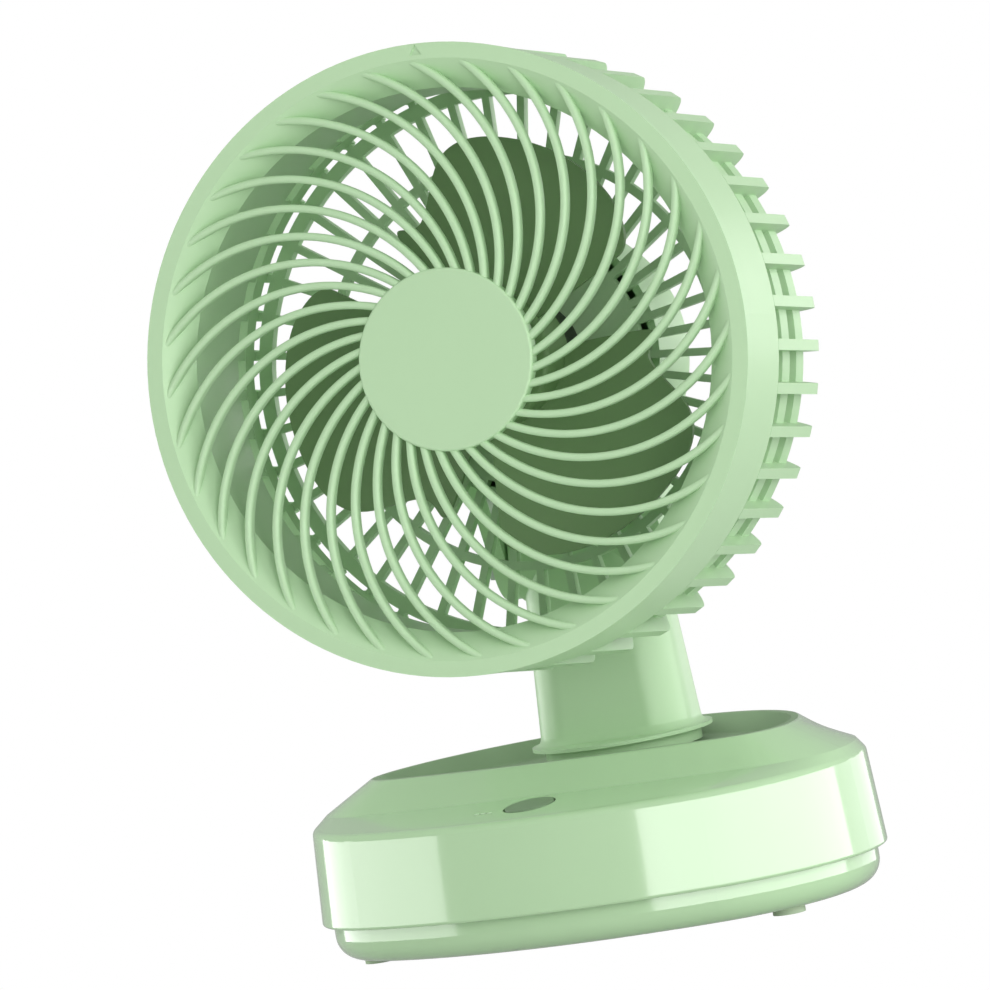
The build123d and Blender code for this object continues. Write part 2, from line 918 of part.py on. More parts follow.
with BuildPart() as neck:
    loft(
        [
            block(turn.offset(flange_bottom), neck_foot_width, neck_foot_depth, corner=neck_corner),
            block(turn.offset(shoulder), neck_top_width, neck_top_depth, corner=neck_corner),
        ],
        ruled=True,
    )
    extrude(
        block(turn.offset(shoulder), neck_top_width, neck_top_depth, corner=neck_corner),
        amount=barrel_radius,
    )
    extrude(discs(turn.offset(flange_bottom), flange_radius), amount=flange_thickness)
    flange_top_edges = edges_at(neck.part, flange_bottom + flange_thickness)
    fillet(flange_top_edges.filter_by(lambda edge: edge.length < flange_radius * pi), flange_blend)
    extrude(discs(cheek(-neck_top_width / 2), barrel_radius, hinge_spot), amount=neck_top_width)
    add(neck_room.part, mode=Mode.SUBTRACT)
    extrude(
        discs(cheek(-neck_top_width / 2), tilt_pin_radius + tilt_pin_fit, hinge_spot),
        amount=neck_top_width,
        mode=Mode.SUBTRACT,
    )
    extrude(
        discs(turn.offset(flange_bottom), screw_shank + screw_fit, *turntable_spots),
        amount=screw_grip + screw_fit,
        mode=Mode.SUBTRACT,
    )
    extrude(
        discs(split_plane.offset(-screw_grip), screw_shank + screw_fit, *neck_screw_spots),
        amount=screw_grip + neck_seat,
        mode=Mode.SUBTRACT,
    )
    extrude(
        discs(split_plane.offset(neck_seat), screw_head_radius + 2 * screw_fit, *neck_screw_spots),
        amount=neck_foot_depth,
        mode=Mode.SUBTRACT,
    )

with BuildPart() as neck_front_shell:
    add(neck.part)
    split(bisect_by=split_plane, keep=Keep.BOTTOM)
export(neck_front_shell, "neck_front_shell")

with BuildPart() as neck_rear_shell:
    add(neck.part)
    split(bisect_by=split_plane, keep=Keep.TOP)
export(neck_rear_shell, "neck_rear_shell")

with BuildPart(split_plane.offset(neck_seat)) as neck_screws:
    with Locations(*neck_screw_spots):
        add(screw(neck_seat + screw_grip - screw_fit))
export(neck_screws, "neck_screws")

with BuildPart() as friction_washers:
    for side in (-neck_top_width / 2 - washer_thickness, neck_top_width / 2):
        with BuildSketch(cheek(side)):
            with Locations(hinge_spot):
                Circle(washer_radius)
                Circle(tilt_pin_radius + tilt_pin_fit, mode=Mode.SUBTRACT)
        extrude(amount=washer_thickness)
export(friction_washers, "friction_washers")

# Turntable: a collar under the neck with a hollow spigot that turns in a bush in the base
bush_bottom = floor_under - bush_tail
gear_top = bush_bottom - gear_axial_gap
gear_bottom = gear_top - gear_thickness
circlip_bottom = gear_bottom - circlip_thickness
spigot_bottom = circlip_bottom - spigot_tail
bush_bore = spigot_radius + bush_fit
bush_radius = bush_bore + bush_wall
turntable_seat = collar_bottom + screw_head_height + 2 * swivel_play

with BuildPart() as turntable:
    extrude(discs(turn.offset(collar_bottom), collar_radius), amount=collar_height)
    extrude(discs(turn.offset(gear_top), spigot_radius), amount=collar_bottom - gear_top)
    extrude(discs(turn.offset(spigot_bottom), spigot_end_radius), amount=gear_top - spigot_bottom)
    with BuildSketch(turn.offset(circlip_bottom)):
        Circle(spigot_end_radius)
        Circle(spigot_end_radius - circlip_groove, mode=Mode.SUBTRACT)
    extrude(amount=circlip_thickness, mode=Mode.SUBTRACT)
    extrude(
        discs(turn.offset(spigot_bottom), wire_bore_radius),
        amount=flange_bottom - spigot_bottom,
        mode=Mode.SUBTRACT,
    )
    extrude(
        discs(turn.offset(collar_bottom), screw_head_radius + 2 * screw_fit, *turntable_spots),
        amount=turntable_seat - collar_bottom,
        mode=Mode.SUBTRACT,
    )
    extrude(
        discs(turn.offset(turntable_seat), screw_shank + screw_fit, *turntable_spots),
        amount=collar_height,
        mode=Mode.SUBTRACT,
    )
export(turntable, "turntable")

turntable_under = Plane(turn.offset(turntable_seat).origin, x_dir=turn.x_dir, z_dir=(0, 0, -1))
with BuildPart(turntable_under) as turntable_screws:
    with Locations(*turntable_spots):
        add(screw(flange_bottom - turntable_seat + screw_grip))
export(turntable_screws, "turntable_screws")

with BuildPart() as swivel_gear:
    extrude(gear_face(Plane((0, neck_setback, gear_bottom)), gear_teeth, 180), amount=gear_thickness)
    extrude(discs(turn.offset(gear_bottom), spigot_end_radius), amount=gear_thickness, mode=Mode.SUBTRACT)
export(swivel_gear, "swivel_gear")

with BuildPart() as swivel_circlip:
    with BuildSketch(turn.offset(circlip_bottom)):
        Circle(circlip_radius)
        Circle(spigot_end_radius - circlip_groove, mode=Mode.SUBTRACT)
        with Locations((0, circlip_radius)):
            Rectangle(spigot_end_radius, circlip_radius, mode=Mode.SUBTRACT)
    extrude(amount=circlip_thickness)
export(swivel_circlip, "swivel_circlip")

with BuildPart() as swivel_bush:
    extrude(discs(turn.offset(bush_bottom), bush_radius), amount=dish_floor - bush_bottom)
    extrude(discs(turn.offset(dish_floor), bush_flange_radius), amount=bush_flange_thickness)
    extrude(
        discs(turn.offset(bush_bottom), bush_bore),
        amount=collar_bottom - bush_bottom,
        mode=Mode.SUBTRACT,
    )
export(swivel_bush, "swivel_bush")

# Swivel drive: a geared motor hung under the dish, with its pinion in mesh with the gear
drive_spot = (-gear_module * (gear_teeth + pinion_teeth) / 2, neck_setback)
drive_ears = [(drive_spot[0], drive_spot[1] + side * swivel_motor_ear) for side in (-1, 1)]
drive_plate_top = gear_bottom - swivel_motor_gap
drive_plate_bottom = drive_plate_top - swivel_motor_plate
shaft_bottom = drive_plate_bottom - swivel_motor_length / 2
pinion_plane = Plane((drive_spot[0], drive_spot[1], gear_bottom))

with BuildPart() as drive_pinion:
    extrude(gear_face(pinion_plane, pinion_teeth, 180 / pinion_teeth), amount=gear_thickness)
    extrude(discs(pinion_plane, swivel_shaft_radius), amount=gear_thickness, mode=Mode.SUBTRACT)
export(drive_pinion, "drive_pinion")

with BuildPart() as pinion_shaft:
    extrude(
        discs(Plane.XY.offset(shaft_bottom), swivel_shaft_radius, drive_spot),
        amount=gear_top - shaft_bottom,
    )
export(pinion_shaft, "pinion_shaft")

with BuildPart() as swivel_motor:
    extrude(
        discs(Plane.XY.offset(drive_plate_bottom), swivel_motor_radius, drive_spot),
        amount=-swivel_motor_length,
    )
    with BuildSketch(Plane.XY.offset(drive_plate_bottom)):
        with Locations(drive_spot):
            Circle(swivel_motor_radius)
            SlotCenterToCenter(2 * swivel_motor_ear, 2 * swivel_motor_ear_radius, rotation=90)
        with Locations(*drive_ears):
            Circle(screw_shank + screw_fit, mode=Mode.SUBTRACT)
    extrude(amount=swivel_motor_plate)
    extrude(
        discs(Plane.XY.offset(shaft_bottom), swivel_shaft_radius + swivel_shaft_fit, drive_spot),
        amount=drive_plate_top - shaft_bottom,
        mode=Mode.SUBTRACT,
    )
export(swivel_motor, "swivel_motor")

drive_under = Plane((0, 0, drive_plate_bottom), x_dir=(1, 0, 0), z_dir=(0, 0, -1))
with BuildPart(drive_under) as swivel_motor_screws:
    with Locations(*[(x, -y) for x, y in drive_ears]):
        add(screw(swivel_motor_plate + screw_grip))
export(swivel_motor_screws, "swivel_motor_screws")

# Base: an upper shell with a front ledge and a dish under the neck, closed by a tray
rim_top = rim_height + side_wall_height
slope_foot = rim_top + ledge_rise
ridge_top = slope_foot + ridge_rise
tray_top = rim_height + tray_lap
tray_floor = foot_height + tray_wall
tray_inset = base_wall + side_draft * tray_lap / side_wall_height + tray_clearance
tray_screw_seat = tray_floor + screw_head_height
ledge_front = base_front_depth - side_draft
ledge_slant = ledge_depth / (ledge_depth**2 + ledge_rise**2) ** 0.5
ledge_thickness = (top_wall + base_wall * ledge_rise / ledge_depth) * ledge_slant
button_plane = Plane(
    origin=(0, button_set_back - ledge_front, rim_top + ledge_rise * button_set_back / ledge_depth),
    x_dir=(1, 0, 0),
    z_dir=(0, -ledge_rise, ledge_depth),
)
board_top = button_plane.offset(-board_gap)
board_spots = ((-board_post_x, 0), (board_post_x, 0))
light_spots = [(-light_start - light_pitch * step, -light_front) for step in range(light_count)]
charge_plane = Plane.XY.offset(tray_floor + charge_board_rise)
back_wall = base_back_depth - side_draft - base_wall
charge_board_y = back_wall - 2 * socket_opening_clearance - charge_board_depth / 2
charge_spots = [(side * charge_post_x, charge_board_y - charge_board_depth / 4) for side in (-1, 1)]
inlet = Plane(
    origin=(0, base_back_depth, tray_floor + charge_board_rise + board_thickness + socket_height / 2),
    x_dir=(-1, 0, 0),
    z_dir=(0, 1, 0),
)

with BuildPart() as base_room:
    loft(
        [
            base_oval(rim_height, base_wall),
            base_oval(rim_top - top_wall, side_draft + base_wall),
            slope_oval(slope_foot - top_wall, base_wall),
            ridge_oval(floor_under, 0),
        ],
        ruled=True,
    )
    extrude(discs(Plane.XY.offset(tray_top), post_radius, *post_spots), amount=ridge_top, mode=Mode.SUBTRACT)
    extrude(
        discs(Plane.XY.offset(drive_plate_top), swivel_motor_ear_radius, *drive_ears),
        amount=ridge_top,
        mode=Mode.SUBTRACT,
    )
    extrude(discs(board_top, board_post_radius, *board_spots), amount=board_gap, mode=Mode.SUBTRACT)

with BuildPart() as base_upper_shell:
    loft(
        [
            base_oval(rim_height, 0),
            base_oval(rim_top, side_draft),
            slope_oval(slope_foot, 0),
            ridge_oval(ridge_top, 0),
        ],
        ruled=True,
    )
    for height, radius in ((ridge_top, ridge_edge), (rim_top, rim_edge), (rim_height, skirt_edge)):
        fillet(edges_at(base_upper_shell.part, height), radius)
    loft(
        [ridge_oval(dish_floor, dish_lip + dish_slope), ridge_oval(ridge_top, dish_lip)],
        ruled=True,
        mode=Mode.SUBTRACT,
    )
    fillet(edges_at(base_upper_shell.part, dish_floor), dish_floor_edge)
    add(base_room.part, mode=Mode.SUBTRACT)
    extrude(discs(turn.offset(floor_under), bush_radius), amount=top_wall, mode=Mode.SUBTRACT)
    extrude(
        discs(Plane.XY.offset(tray_top), screw_shank + screw_fit, *post_spots),
        amount=screw_grip + screw_fit,
        mode=Mode.SUBTRACT,
    )
    extrude(
        discs(Plane.XY.offset(drive_plate_top), screw_shank + screw_fit, *drive_ears),
        amount=screw_grip + screw_fit,
        mode=Mode.SUBTRACT,
    )
    extrude(
        discs(board_top, screw_shank + screw_fit, *board_spots),
        amount=screw_grip + screw_fit,
        mode=Mode.SUBTRACT,
    )
    extrude(
        discs(button_plane, button_radius + button_clearance),
        amount=2 * ledge_thickness,
        both=True,
        mode=Mode.SUBTRACT,
    )
    extrude(
        discs(button_plane, light_radius + light_fit, *light_spots),
        amount=2 * ledge_thickness,
        both=True,
        mode=Mode.SUBTRACT,
    )
    extrude(
        block(
            inlet,
            socket_width + 2 * socket_opening_clearance,
            socket_height + 2 * socket_opening_clearance,
            corner=socket_corner,
        ),
        amount=-3 * base_wall,
        mode=Mode.SUBTRACT,
    )
export(base_upper_shell, "base_upper_shell")

with BuildPart() as base_lower_shell:
    extrude(base_oval(foot_height, tray_inset), amount=tray_top - foot_height)
    fillet(faces().sort_by(Axis.Z)[0].edges(), tray_edge)
    extrude(
        base_oval(tray_floor, tray_inset + tray_edge),
        amount=tray_top - tray_floor,
        mode=Mode.SUBTRACT,
    )
    extrude(
        base_oval(foot_height + tray_edge, tray_inset + tray_wall),
        amount=tray_top - foot_height - tray_edge,
        mode=Mode.SUBTRACT,
    )
    extrude(discs(Plane.XY.offset(tray_floor), post_radius, *post_spots), amount=tray_top - tray_floor)
    extrude(discs(Plane.XY.offset(tray_floor), charge_post_radius, *charge_spots), amount=charge_board_rise)
    extrude(
        discs(Plane.XY.offset(foot_height), screw_shank + screw_fit, *post_spots),
        amount=tray_top,
        mode=Mode.SUBTRACT,
    )
    extrude(
        discs(Plane.XY.offset(foot_height), screw_head_radius + 2 * screw_fit, *post_spots),
        amount=tray_screw_seat - foot_height,
        mode=Mode.SUBTRACT,
    )
    extrude(
        discs(charge_plane, screw_shank + screw_fit, *charge_spots),
        amount=-screw_grip - screw_fit,
        mode=Mode.SUBTRACT,
    )
    extrude(
        discs(Plane.XY.offset(foot_height), rubber_foot_radius, *rubber_foot_spots),
        amount=rubber_foot_pocket,
        mode=Mode.SUBTRACT,
    )
export(base_lower_shell, "base_lower_shell")

tray_under = Plane((0, 0, tray_screw_seat), x_dir=(1, 0, 0), z_dir=(0, 0, -1))
with BuildPart(tray_under) as base_screws:
    with Locations(*[(x, -y) for x, y in post_spots]):
        add(screw(tray_top - tray_screw_seat + screw_grip))
export(base_screws, "base_screws")

with BuildPart() as rubber_feet:
    extrude(
        discs(Plane.XY, rubber_foot_radius, *rubber_foot_spots),
        amount=foot_height + rubber_foot_pocket,
    )
export(rubber_feet, "rubber_feet")

# Button on the ledge with its switch, and the control board and indicator lights under it
switch_top = switch_height - board_gap
plunger_top = switch_top + plunger_height
button_flange_top = -ledge_thickness - button_flange_gap
button_axis = Axis(button_plane.origin, button_plane.z_dir)

with BuildPart() as button_cap:
    extrude(
        discs(button_plane.offset(button_flange_top), button_radius),
        amount=button_proud - button_flange_top,
    )
    extrude(
        discs(button_plane.offset(button_flange_top), button_radius + button_flange),
        amount=-button_flange_thickness,
    )
    extrude(
        discs(button_plane.offset(plunger_top), button_radius / 2),
        amount=button_flange_top - plunger_top,
    )
    fillet(faces().sort_by(button_axis)[-1].edges(), button_proud)
export(button_cap, "button_cap")

with BuildPart() as switch_plunger:
    extrude(discs(button_plane.offset(plunger_top), plunger_radius), amount=-2 * plunger_height)
export(switch_plunger, "switch_plunger")

with BuildPart() as switch_body:
    extrude(block(board_top, switch_size, switch_size), amount=switch_height)
    extrude(
        discs(button_plane.offset(switch_top), plunger_radius + 2 * screw_fit),
        amount=-2 * plunger_height - button_travel,
        mode=Mode.SUBTRACT,
    )
export(switch_body, "switch_body")

with BuildPart() as control_board:
    extrude(block(board_top, board_length, board_width), amount=-board_thickness)
    extrude(
        discs(board_top, screw_shank + screw_fit, *board_spots),
        amount=-board_thickness,
        mode=Mode.SUBTRACT,
    )
export(control_board, "control_board")

with BuildPart() as indicator_lights:
    extrude(discs(board_top, light_radius, *light_spots), amount=board_gap)
export(indicator_lights, "indicator_lights")

# Battery in its holder on the tray
holder_length = cell_length + cell_nub_length + 2 * holder_clearance
holder_width = cell_pitch + 2 * cell_radius + 2 * holder_clearance
holder_middle = battery_front_y + cell_pitch / 2
cell_bottom = tray_floor + holder_floor
cell_plane = Plane(origin=(0, holder_middle, cell_bottom + cell_radius), x_dir=(0, 1, 0), z_dir=(1, 0, 0))
holder_plane = Plane((0, holder_middle, tray_floor))
holder_inside = holder_plane.offset(holder_floor)

with BuildPart() as battery_cells:
    for side in (-1, 1):
        end_plane = cell_plane.offset(-side * (cell_length + cell_nub_length) / 2)
        spot = (side * cell_pitch / 2, 0)
        extrude(discs(end_plane, cell_radius, spot), amount=side * cell_length)
        extrude(discs(end_plane, cell_nub_radius, spot), amount=side * (cell_length + cell_nub_length))
export(battery_cells, "battery_cells")

with BuildPart() as battery_holder:
    extrude(
        block(holder_plane, holder_length + 2 * holder_wall, holder_width + 2 * holder_wall),
        amount=holder_floor + holder_end_height,
    )
    extrude(block(holder_inside, holder_length, holder_width), amount=holder_end_height, mode=Mode.SUBTRACT)
    extrude(
        block(holder_inside.offset(holder_side_height), holder_length, holder_width + 4 * holder_wall),
        amount=holder_end_height,
        mode=Mode.SUBTRACT,
    )
export(battery_holder, "battery_holder")

# Charging board with its socket in the back wall
with BuildPart() as charge_board:
    extrude(
        block(charge_plane, charge_board_width, charge_board_depth, (0, charge_board_y)),
        amount=board_thickness,
    )
    extrude(
        discs(charge_plane, screw_shank + screw_fit, *charge_spots),
        amount=board_thickness,
        mode=Mode.SUBTRACT,
    )
export(charge_board, "charge_board")

socket_mouth = inlet.offset(-side_draft)
with BuildPart() as charge_socket:
    extrude(block(socket_mouth, socket_width, socket_height, corner=socket_corner), amount=-socket_depth)
    extrude(
        block(
            socket_mouth,
            socket_width - 2 * socket_wall,
            socket_height - 2 * socket_wall,
            corner=socket_corner - socket_wall,
        ),
        amount=socket_wall - socket_depth,
        mode=Mode.SUBTRACT,
    )
    extrude(
        block(socket_mouth.offset(-2 * socket_wall), socket_tongue_width, socket_tongue),
        amount=2 * socket_wall - socket_depth,
    )
export(charge_socket, "charge_socket")

under_board = board_top.offset(-board_thickness).location * Location((0, 0, 0), (180, 0, 0))
with BuildPart() as board_screws:
    with Locations(*[under_board * Location((x, -y, 0)) for x, y in board_spots]):
        add(screw(board_thickness + screw_grip))
    with Locations(*[(x, y, charge_plane.origin.Z + board_thickness) for x, y in charge_spots]):
        add(screw(board_thickness + screw_grip))
export(board_screws, "board_screws")
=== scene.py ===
"""Looks for the desk fan: mint-green plastics, its inner pieces, soft studio light and the photo's camera."""

import json
from math import cos, radians, sin

import bpy
from mathutils import Matrix, Vector

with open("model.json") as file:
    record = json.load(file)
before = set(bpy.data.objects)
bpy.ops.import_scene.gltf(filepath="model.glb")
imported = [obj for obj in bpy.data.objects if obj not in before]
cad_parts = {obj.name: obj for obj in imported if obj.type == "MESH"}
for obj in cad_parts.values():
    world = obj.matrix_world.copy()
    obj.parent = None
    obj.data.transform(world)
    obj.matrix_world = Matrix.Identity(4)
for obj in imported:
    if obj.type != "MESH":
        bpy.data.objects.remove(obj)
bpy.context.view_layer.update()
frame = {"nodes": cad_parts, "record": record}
scene = bpy.context.scene

# Camera, found from the photo: angles in degrees, lengths in metres, lens and sensor in millimetres
camera_azimuth = 26.58
camera_elevation = 3.92
camera_roll = 9.86
camera_distance = 3.0
camera_lens = 398.2
camera_sensor = 36.0
camera_near = 0.1
camera_far = 100.0
camera_aim = Vector((-0.01982, 0.00677, 0.12189))
picture_side = 990

# Strength of the surroundings, as plain light and as seen in glossy surfaces
sky_strength = 0.73
sky_in_gloss = 0.4

# White screens seen only in glossy surfaces: from how low to how high they reach, in degrees, and for each
# where it begins and ends, in degrees to the right of the way to the camera, and its strength
screen_bottom = -8.0
screen_top = 6.0
screens = ((-140.0, -73.0, 3.8), (-20.0, 105.0, 5.9), (105.0, 155.0, 1.9))

# Floor, in metres
floor_reach = 30.0
floor_drop = 0.002
floor_colour = (0.8, 0.8, 0.8)
floor_roughness = 0.9
white = (1.0, 1.0, 1.0)

# Moulded plastic: waves in a metre, depth of the grain in metres, the rest as shares
plastic_colour_waves = 14.0
plastic_gloss_waves = 60.0
plastic_gloss_drift = 0.08
plastic_grain_waves = 900.0
plastic_grain_depth = 0.0004
plastic_coat_roughness = 0.08
plastic_index = 1.48

# Base's upper shell, and the painted shade of its dish round the neck (shade from the head and neck painted
# into its colour): places in metres, the rest as shares
shell_gloss_drift = 0.04
shell_coat_roughness = 0.05
shell_grain = 0.01
dish_floor = 0.0436
dish_centre = (-0.0077, 0.0253, 0.06)
# Share of the colour kept inside the dish: painted shade standing in for the head's and neck's shadow
dish_painted_shade = 0.6
dish_roughness = 0.4

# Metal: streaks that also show as relief, depth in metres
streak_detail = 3.0
streak_gloss = 0.2
streak_relief = 0.08
streak_depth = 0.0003

# Circuit boards: tracks in a metre, depth in metres
track_scale = 220.0
track_gap = 0.06
track_relief = 0.2
track_depth = 0.0002
track_bare = (0.01, 0.09, 0.035)
track_copper = (0.03, 0.2, 0.08)
varnish_waves = 300.0
varnish_roughness = 0.3
varnish_drift = 0.15
varnish_coat = 0.4

# Rubber feet: waves in a metre, depth of the grain in metres
bloom_waves = 220.0
bloom_detail = 4.0
bloom_drift = 0.2
rubber_dark = (0.46, 0.57, 0.4)
rubber_light = (0.52, 0.63, 0.46)
rubber_roughness = 0.75
rubber_grain_waves = 1600.0
rubber_grain = 0.15
rubber_grain_depth = 0.0003

# The fan's plastic, from its darker to its lighter places
mint_dark = (0.465, 0.68, 0.408)
mint_light = (0.505, 0.72, 0.447)

# Places of the colour sockets on a Mix node, whose names repeat
mix_factor = 0
mix_first = 6
mix_second = 7
mix_result = 2


def feed(value, target):
    """Links a wire into an input, or sets a plain value on it."""
    if isinstance(value, Wire):
        target.id_data.links.new(value.socket, target)
    elif target.type == "RGBA" and len(value) == 3:
        target.default_value = (*value, 1.0)
    else:
        target.default_value = value


class Wire:
    """A shader socket that takes part in Python arithmetic."""

    def __init__(self, socket):
        self.socket = socket

    def combine(self, operation, first, second):
        tree = Tree(self.socket.id_data)
        return tree.add("ShaderNodeMath", {"operation": operation}, {0: first, 1: second})

    def __add__(self, other):
        return self.combine("ADD", self, other)

    def __radd__(self, other):
        return self.combine("ADD", other, self)

    def __sub__(self, other):
        return self.combine("SUBTRACT", self, other)

    def __rsub__(self, other):
        return self.combine("SUBTRACT", other, self)

    def __mul__(self, other):
        return self.combine("MULTIPLY", self, other)

    def __rmul__(self, other):
        return self.combine("MULTIPLY", other, self)

    def __gt__(self, other):
        return self.combine("GREATER_THAN", self, other)

    def __lt__(self, other):
        return self.combine("LESS_THAN", self, other)

    def angle_from(self, other):
        """The angle whose sine and cosine go as this wire and the other one, in radians."""
        return self.combine("ARCTAN2", self, other)


class Tree:
    """A node tree that gets its nodes through one method."""

    def __init__(self, node_tree):
        self.nodes = node_tree.nodes

    def add(self, kind, settings=None, inputs=None, output=0):
        """Adds a node, makes its settings, sets or links its inputs and gives one output as a wire."""
        node = self.nodes.new(kind)
        for name, value in (settings or {}).items():
            setattr(node, name, value)
        for name, value in (inputs or {}).items():
            feed(value, node.inputs[name])
        return Wire(node.outputs[output])

    def vector(self, operation, first, second, output="Vector"):
        """Vector arithmetic between two wires, or a wire and plain numbers."""
        return self.add("ShaderNodeVectorMath", {"operation": operation}, {0: first, 1: second}, output)

    def dot(self, first, second):
        """How far one vector goes along another, as a value."""
        return self.vector("DOT_PRODUCT", first, second, "Value")


class Look(Tree):
    """A material with a principled shader, and what its finish is made from."""

    def __init__(self, name):
        self.material = bpy.data.materials.new(name)
        self.material.use_nodes = True
        super().__init__(self.material.node_tree)
        self.shader = self.nodes["Principled BSDF"]
        self.output = self.nodes["Material Output"]
        self.place = self.add("ShaderNodeTexCoord", output="Object")

    def noise(self, scale, detail=2.0, place=None):
        """Soft noise from 0 to 1, with about the given number of waves in a metre."""
        inputs = {"Vector": place or self.place, "Scale": scale, "Detail": detail}
        return self.add("ShaderNodeTexNoise", inputs=inputs)

    def mix(self, factor, first, second):
        """A colour between two, by a factor from 0 to 1."""
        inputs = {mix_factor: factor, mix_first: first, mix_second: second}
        return self.add("ShaderNodeMix", {"data_type": "RGBA"}, inputs, mix_result)

    def bump(self, height, strength, distance):
        """A small relief from a height."""
        inputs = {"Height": height, "Strength": strength, "Distance": distance}
        return self.add("ShaderNodeBump", inputs=inputs)

    def set(self, inputs):
        """Sets or links the principled shader's inputs."""
        for name, value in inputs.items():
            feed(value, self.shader.inputs[name])


def plastic(name, dark, light, roughness, coat, grain=0.03):
    """Moulded plastic: a slow drift of colour, a finer drift of gloss and a faint grain."""
    look = Look(name)
    drift = look.noise(plastic_colour_waves)
    gloss = look.noise(plastic_gloss_waves) - 0.5
    fine = look.noise(plastic_grain_waves)
    look.set({
        "Base Color": look.mix(drift, dark, light),
        "Roughness": roughness + gloss * plastic_gloss_drift,
        "Coat Weight": coat,
        "Coat Roughness": plastic_coat_roughness,
        "IOR": plastic_index,
        "Normal": look.bump(fine, grain, plastic_grain_depth),
    })
    return look.material


def dished_with_painted_shade(name, dark, light, roughness, coat):
    """Moulded plastic whose dish is matt and darkened by painted shade; the dish is what faces a point over
    its middle.
    """
    look = Look(name)
    height = look.add("ShaderNodeSeparateXYZ", inputs={"Vector": look.place}, output="Z")
    facing = look.add("ShaderNodeNewGeometry", output="Normal")
    outward = look.vector("SUBTRACT", look.place, dish_centre)
    # Dish mask: inside it the colour is darkened as painted shade, and the finish turns matt and uncoated
    painted_shade_dish_mask = (height > dish_floor) * (look.dot(facing, outward) < 0.0)
    painted_shade_colours = [tuple(part * dish_painted_shade for part in colour) for colour in (dark, light)]
    drift = look.noise(plastic_colour_waves)
    gloss = look.noise(plastic_gloss_waves) - 0.5
    fine = look.noise(plastic_grain_waves)
    look.set({
        "Base Color": look.mix(painted_shade_dish_mask, look.mix(drift, dark, light), look.mix(drift, *painted_shade_colours)),
        "Roughness": roughness + painted_shade_dish_mask * dish_roughness + gloss * shell_gloss_drift,
        "Coat Weight": coat - painted_shade_dish_mask * coat,
        "Coat Roughness": shell_coat_roughness,
        "IOR": plastic_index,
        "Normal": look.bump(fine, shell_grain, plastic_grain_depth),
    })
    return look.material


def metal(name, dark, light, roughness, waves):
    """Turned or drawn metal: streaks along one way, with uneven gloss."""
    look = Look(name)
    stretched = look.vector("MULTIPLY", look.place, waves)
    streaks = look.noise(1.0, streak_detail, stretched)
    look.set({
        "Base Color": look.mix(streaks, dark, light),
        "Metallic": 1.0,
        "Roughness": roughness + (streaks - 0.5) * streak_gloss,
        "Normal": look.bump(streaks, streak_relief, streak_depth),
    })
    return look.material


def board(name):
    """A varnished circuit board with paler copper tracks under the varnish."""
    look = Look(name)
    lines = {"Vector": look.place, "Scale": track_scale, "Mortar Size": track_gap}
    tracks = look.add("ShaderNodeTexBrick", inputs=lines, output="Fac")
    look.set({
        "Base Color": look.mix(tracks, track_bare, track_copper),
        "Roughness": varnish_roughness + look.noise(varnish_waves) * varnish_drift,
        "Coat Weight": varnish_coat,
        "Normal": look.bump(tracks, track_relief, track_depth),
    })
    return look.material


def rubber(name):
    """Matt rubber with a dusty bloom."""
    look = Look(name)
    bloom = look.noise(bloom_waves, bloom_detail)
    fine = look.noise(rubber_grain_waves)
    look.set({
        "Base Color": look.mix(bloom, rubber_dark, rubber_light),
        "Roughness": rubber_roughness + bloom * bloom_drift,
        "Normal": look.bump(fine, rubber_grain, rubber_grain_depth),
    })
    return look.material


# Finishes by slot: plastics as dark, light, roughness, coat and grain; metals end with their streaks' waves
looks = {
    "mint_satin": plastic("mint_satin", mint_dark, mint_light, 0.42, 0.05),
    "mint_gloss": plastic("mint_gloss", mint_dark, mint_light, 0.12, 0.5, 0.01),
    "mint_neck": plastic("mint_neck", mint_dark, mint_light, 0.36, 0.1, 0.01),
    # Base's upper shell: painted shade darkens its dish
    "mint_painted_shade_dish": dished_with_painted_shade("mint_painted_shade_dish", mint_dark, mint_light, 0.12, 0.5),
    "mint_button": plastic("mint_button", (0.2, 0.3, 0.18), (0.23, 0.335, 0.205), 0.5, 0.0),
    "mint_blade": plastic("mint_blade", (0.15, 0.26, 0.11), (0.18, 0.31, 0.13), 0.45, 0.0),
    "steel": metal("steel", (0.45, 0.46, 0.48), (0.68, 0.69, 0.7), 0.3, (900.0, 900.0, 90.0)),
    "dark_steel": metal("dark_steel", (0.03, 0.03, 0.033), (0.08, 0.08, 0.085), 0.4, (120.0, 900.0, 120.0)),
    "magnet": plastic("magnet", (0.03, 0.03, 0.032), (0.06, 0.06, 0.063), 0.6, 0.0, 0.2),
    "bronze": metal("bronze", (0.4, 0.24, 0.09), (0.62, 0.42, 0.2), 0.35, (700.0, 700.0, 80.0)),
    "white_nylon": plastic("white_nylon", (0.72, 0.72, 0.66), (0.82, 0.82, 0.77), 0.45, 0.0),
    "black_plastic": plastic("black_plastic", (0.012, 0.012, 0.013), (0.022, 0.022, 0.024), 0.45, 0.05),
    "board": board("board"),
    "cell_wrap": plastic("cell_wrap", (0.03, 0.13, 0.3), (0.05, 0.18, 0.38), 0.25, 0.3),
    "light": plastic("light", (0.6, 0.79, 0.55), (0.66, 0.84, 0.61), 0.3, 0.2),
    "foot_rubber": rubber("foot_rubber"),
}

# Each piece takes its slot's finish; the neck and the base's upper shell have finishes of their own, the
# shell's with painted shade in its dish
slot_of = {part["node"]: part["material_slot"] for part in frame["record"]["subparts"]}
slot_of.update(base_upper_shell="mint_painted_shade_dish", neck_front_shell="mint_neck", neck_rear_shell="mint_neck")
for node, obj in frame["nodes"].items():
    obj.data.materials.clear()
    obj.data.materials.append(looks[slot_of[node]])

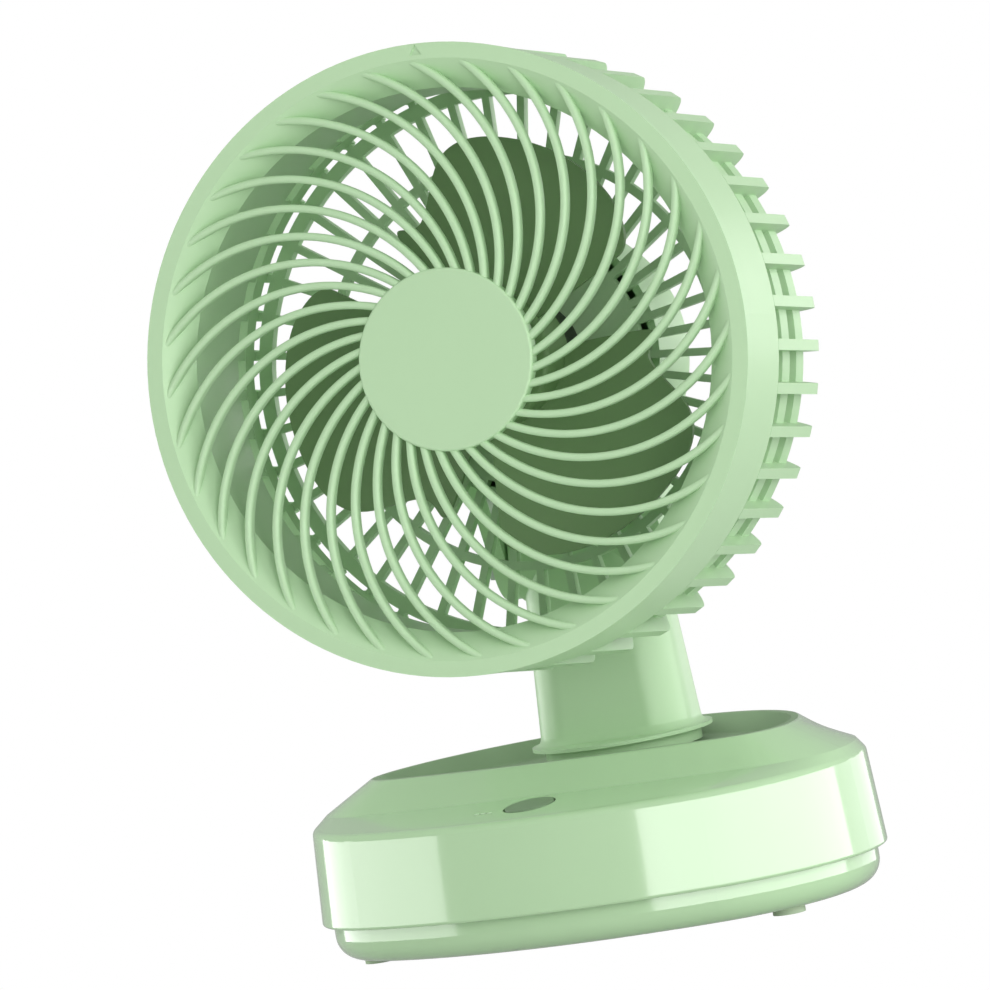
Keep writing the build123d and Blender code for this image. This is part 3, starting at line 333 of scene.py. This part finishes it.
# Directions of the picture
azimuth = radians(camera_azimuth)
elevation = radians(camera_elevation)
roll = radians(camera_roll)
level_back = Vector((sin(azimuth), -cos(azimuth), 0.0))
upward = Vector((0.0, 0.0, 1.0))
back = level_back * cos(elevation) + upward * sin(elevation)
right = Vector((cos(azimuth), sin(azimuth), 0.0))
up = back.cross(right)
image_x = right * cos(roll) - up * sin(roll)
image_y = right * sin(roll) + up * cos(roll)

# Floor: white to the camera, pale to the light, and not seen in glossy surfaces
corners = [(-1, -1), (1, -1), (1, 1), (-1, 1)]
floor_mesh = bpy.data.meshes.new("floor")
floor_mesh.from_pydata([(x * floor_reach, y * floor_reach, 0.0) for x, y in corners], [], [(0, 1, 2, 3)])
floor = bpy.data.objects.new("floor", floor_mesh)
floor.location.z = -floor_drop
floor.visible_glossy = False
scene.collection.objects.link(floor)

ground = Look("ground")
ground.set({"Base Color": floor_colour, "Roughness": floor_roughness})
matt = Wire(ground.shader.outputs[0])
blank = ground.add("ShaderNodeEmission", inputs={"Color": white, "Strength": 1.0})
seen = ground.add("ShaderNodeLightPath", output="Is Camera Ray")
shown = ground.add("ShaderNodeMixShader", inputs={0: seen, 1: matt, 2: blank})
feed(shown, ground.output.inputs["Surface"])
floor_mesh.materials.append(ground.material)

# Surroundings: white to the camera, plain light to matt surfaces, screens to glossy ones
world = bpy.data.worlds.new("studio")
scene.world = world
world.use_nodes = True
studio = Tree(world.node_tree)
to_camera = studio.add("ShaderNodeLightPath", output="Is Camera Ray")
to_gloss = studio.add("ShaderNodeLightPath", output="Is Glossy Ray")
way = studio.add("ShaderNodeTexCoord", output="Generated")
bearing = studio.dot(way, right).angle_from(studio.dot(way, level_back))
rise = studio.dot(way, upward)
lit = sum(
    (bearing > radians(begin)) * (bearing < radians(end)) * (strength - sky_in_gloss)
    for begin, end, strength in screens
)
in_gloss = sky_in_gloss + lit * (rise > sin(radians(screen_bottom))) * (rise < sin(radians(screen_top)))
plain_light = sky_strength + to_camera * (1.0 - sky_strength)
sky = studio.nodes["Background"]
feed(white, sky.inputs["Color"])
feed(plain_light + to_gloss * (in_gloss - sky_strength), sky.inputs["Strength"])

# Camera
lens = bpy.data.cameras.new("camera")
lens.lens = camera_lens
lens.sensor_width = camera_sensor
lens.clip_start = camera_near
lens.clip_end = camera_far
camera = bpy.data.objects.new("camera", lens)
turned = Matrix((image_x, image_y, back)).transposed().to_4x4()
camera.matrix_world = Matrix.Translation(camera_aim + back * camera_distance) @ turned
scene.collection.objects.link(camera)
scene.camera = camera


def area_light(name, across, above, nearer, width, height, power):
    """A soft panel, placed from the middle of the fan in the picture's own directions."""
    panel = bpy.data.lights.new(name, "AREA")
    panel.shape = "RECTANGLE"
    panel.size = width
    panel.size_y = height
    panel.energy = power
    lamp = bpy.data.objects.new(name, panel)
    offset = image_x * across + image_y * above + back * nearer
    turned_in = offset.to_track_quat("Z", "Y").to_matrix().to_4x4()
    lamp.matrix_world = Matrix.Translation(camera_aim + offset) @ turned_in
    lamp.visible_glossy = False
    scene.collection.objects.link(lamp)


area_light("right_front", across=1.1, above=0.3, nearer=1.0, width=0.5, height=1.2, power=6.2)
area_light("right_side", across=1.4, above=0.2, nearer=0.2, width=0.4, height=1.4, power=5.0)
area_light("left_back", across=-1.15, above=0.1, nearer=-0.8, width=1.2, height=1.4, power=12.0)
area_light("front", across=0.5, above=0.2, nearer=1.6, width=0.5, height=1.4, power=7.5)

scene.render.resolution_x = picture_side
scene.render.resolution_y = picture_side
scene.view_settings.view_transform = "Standard"
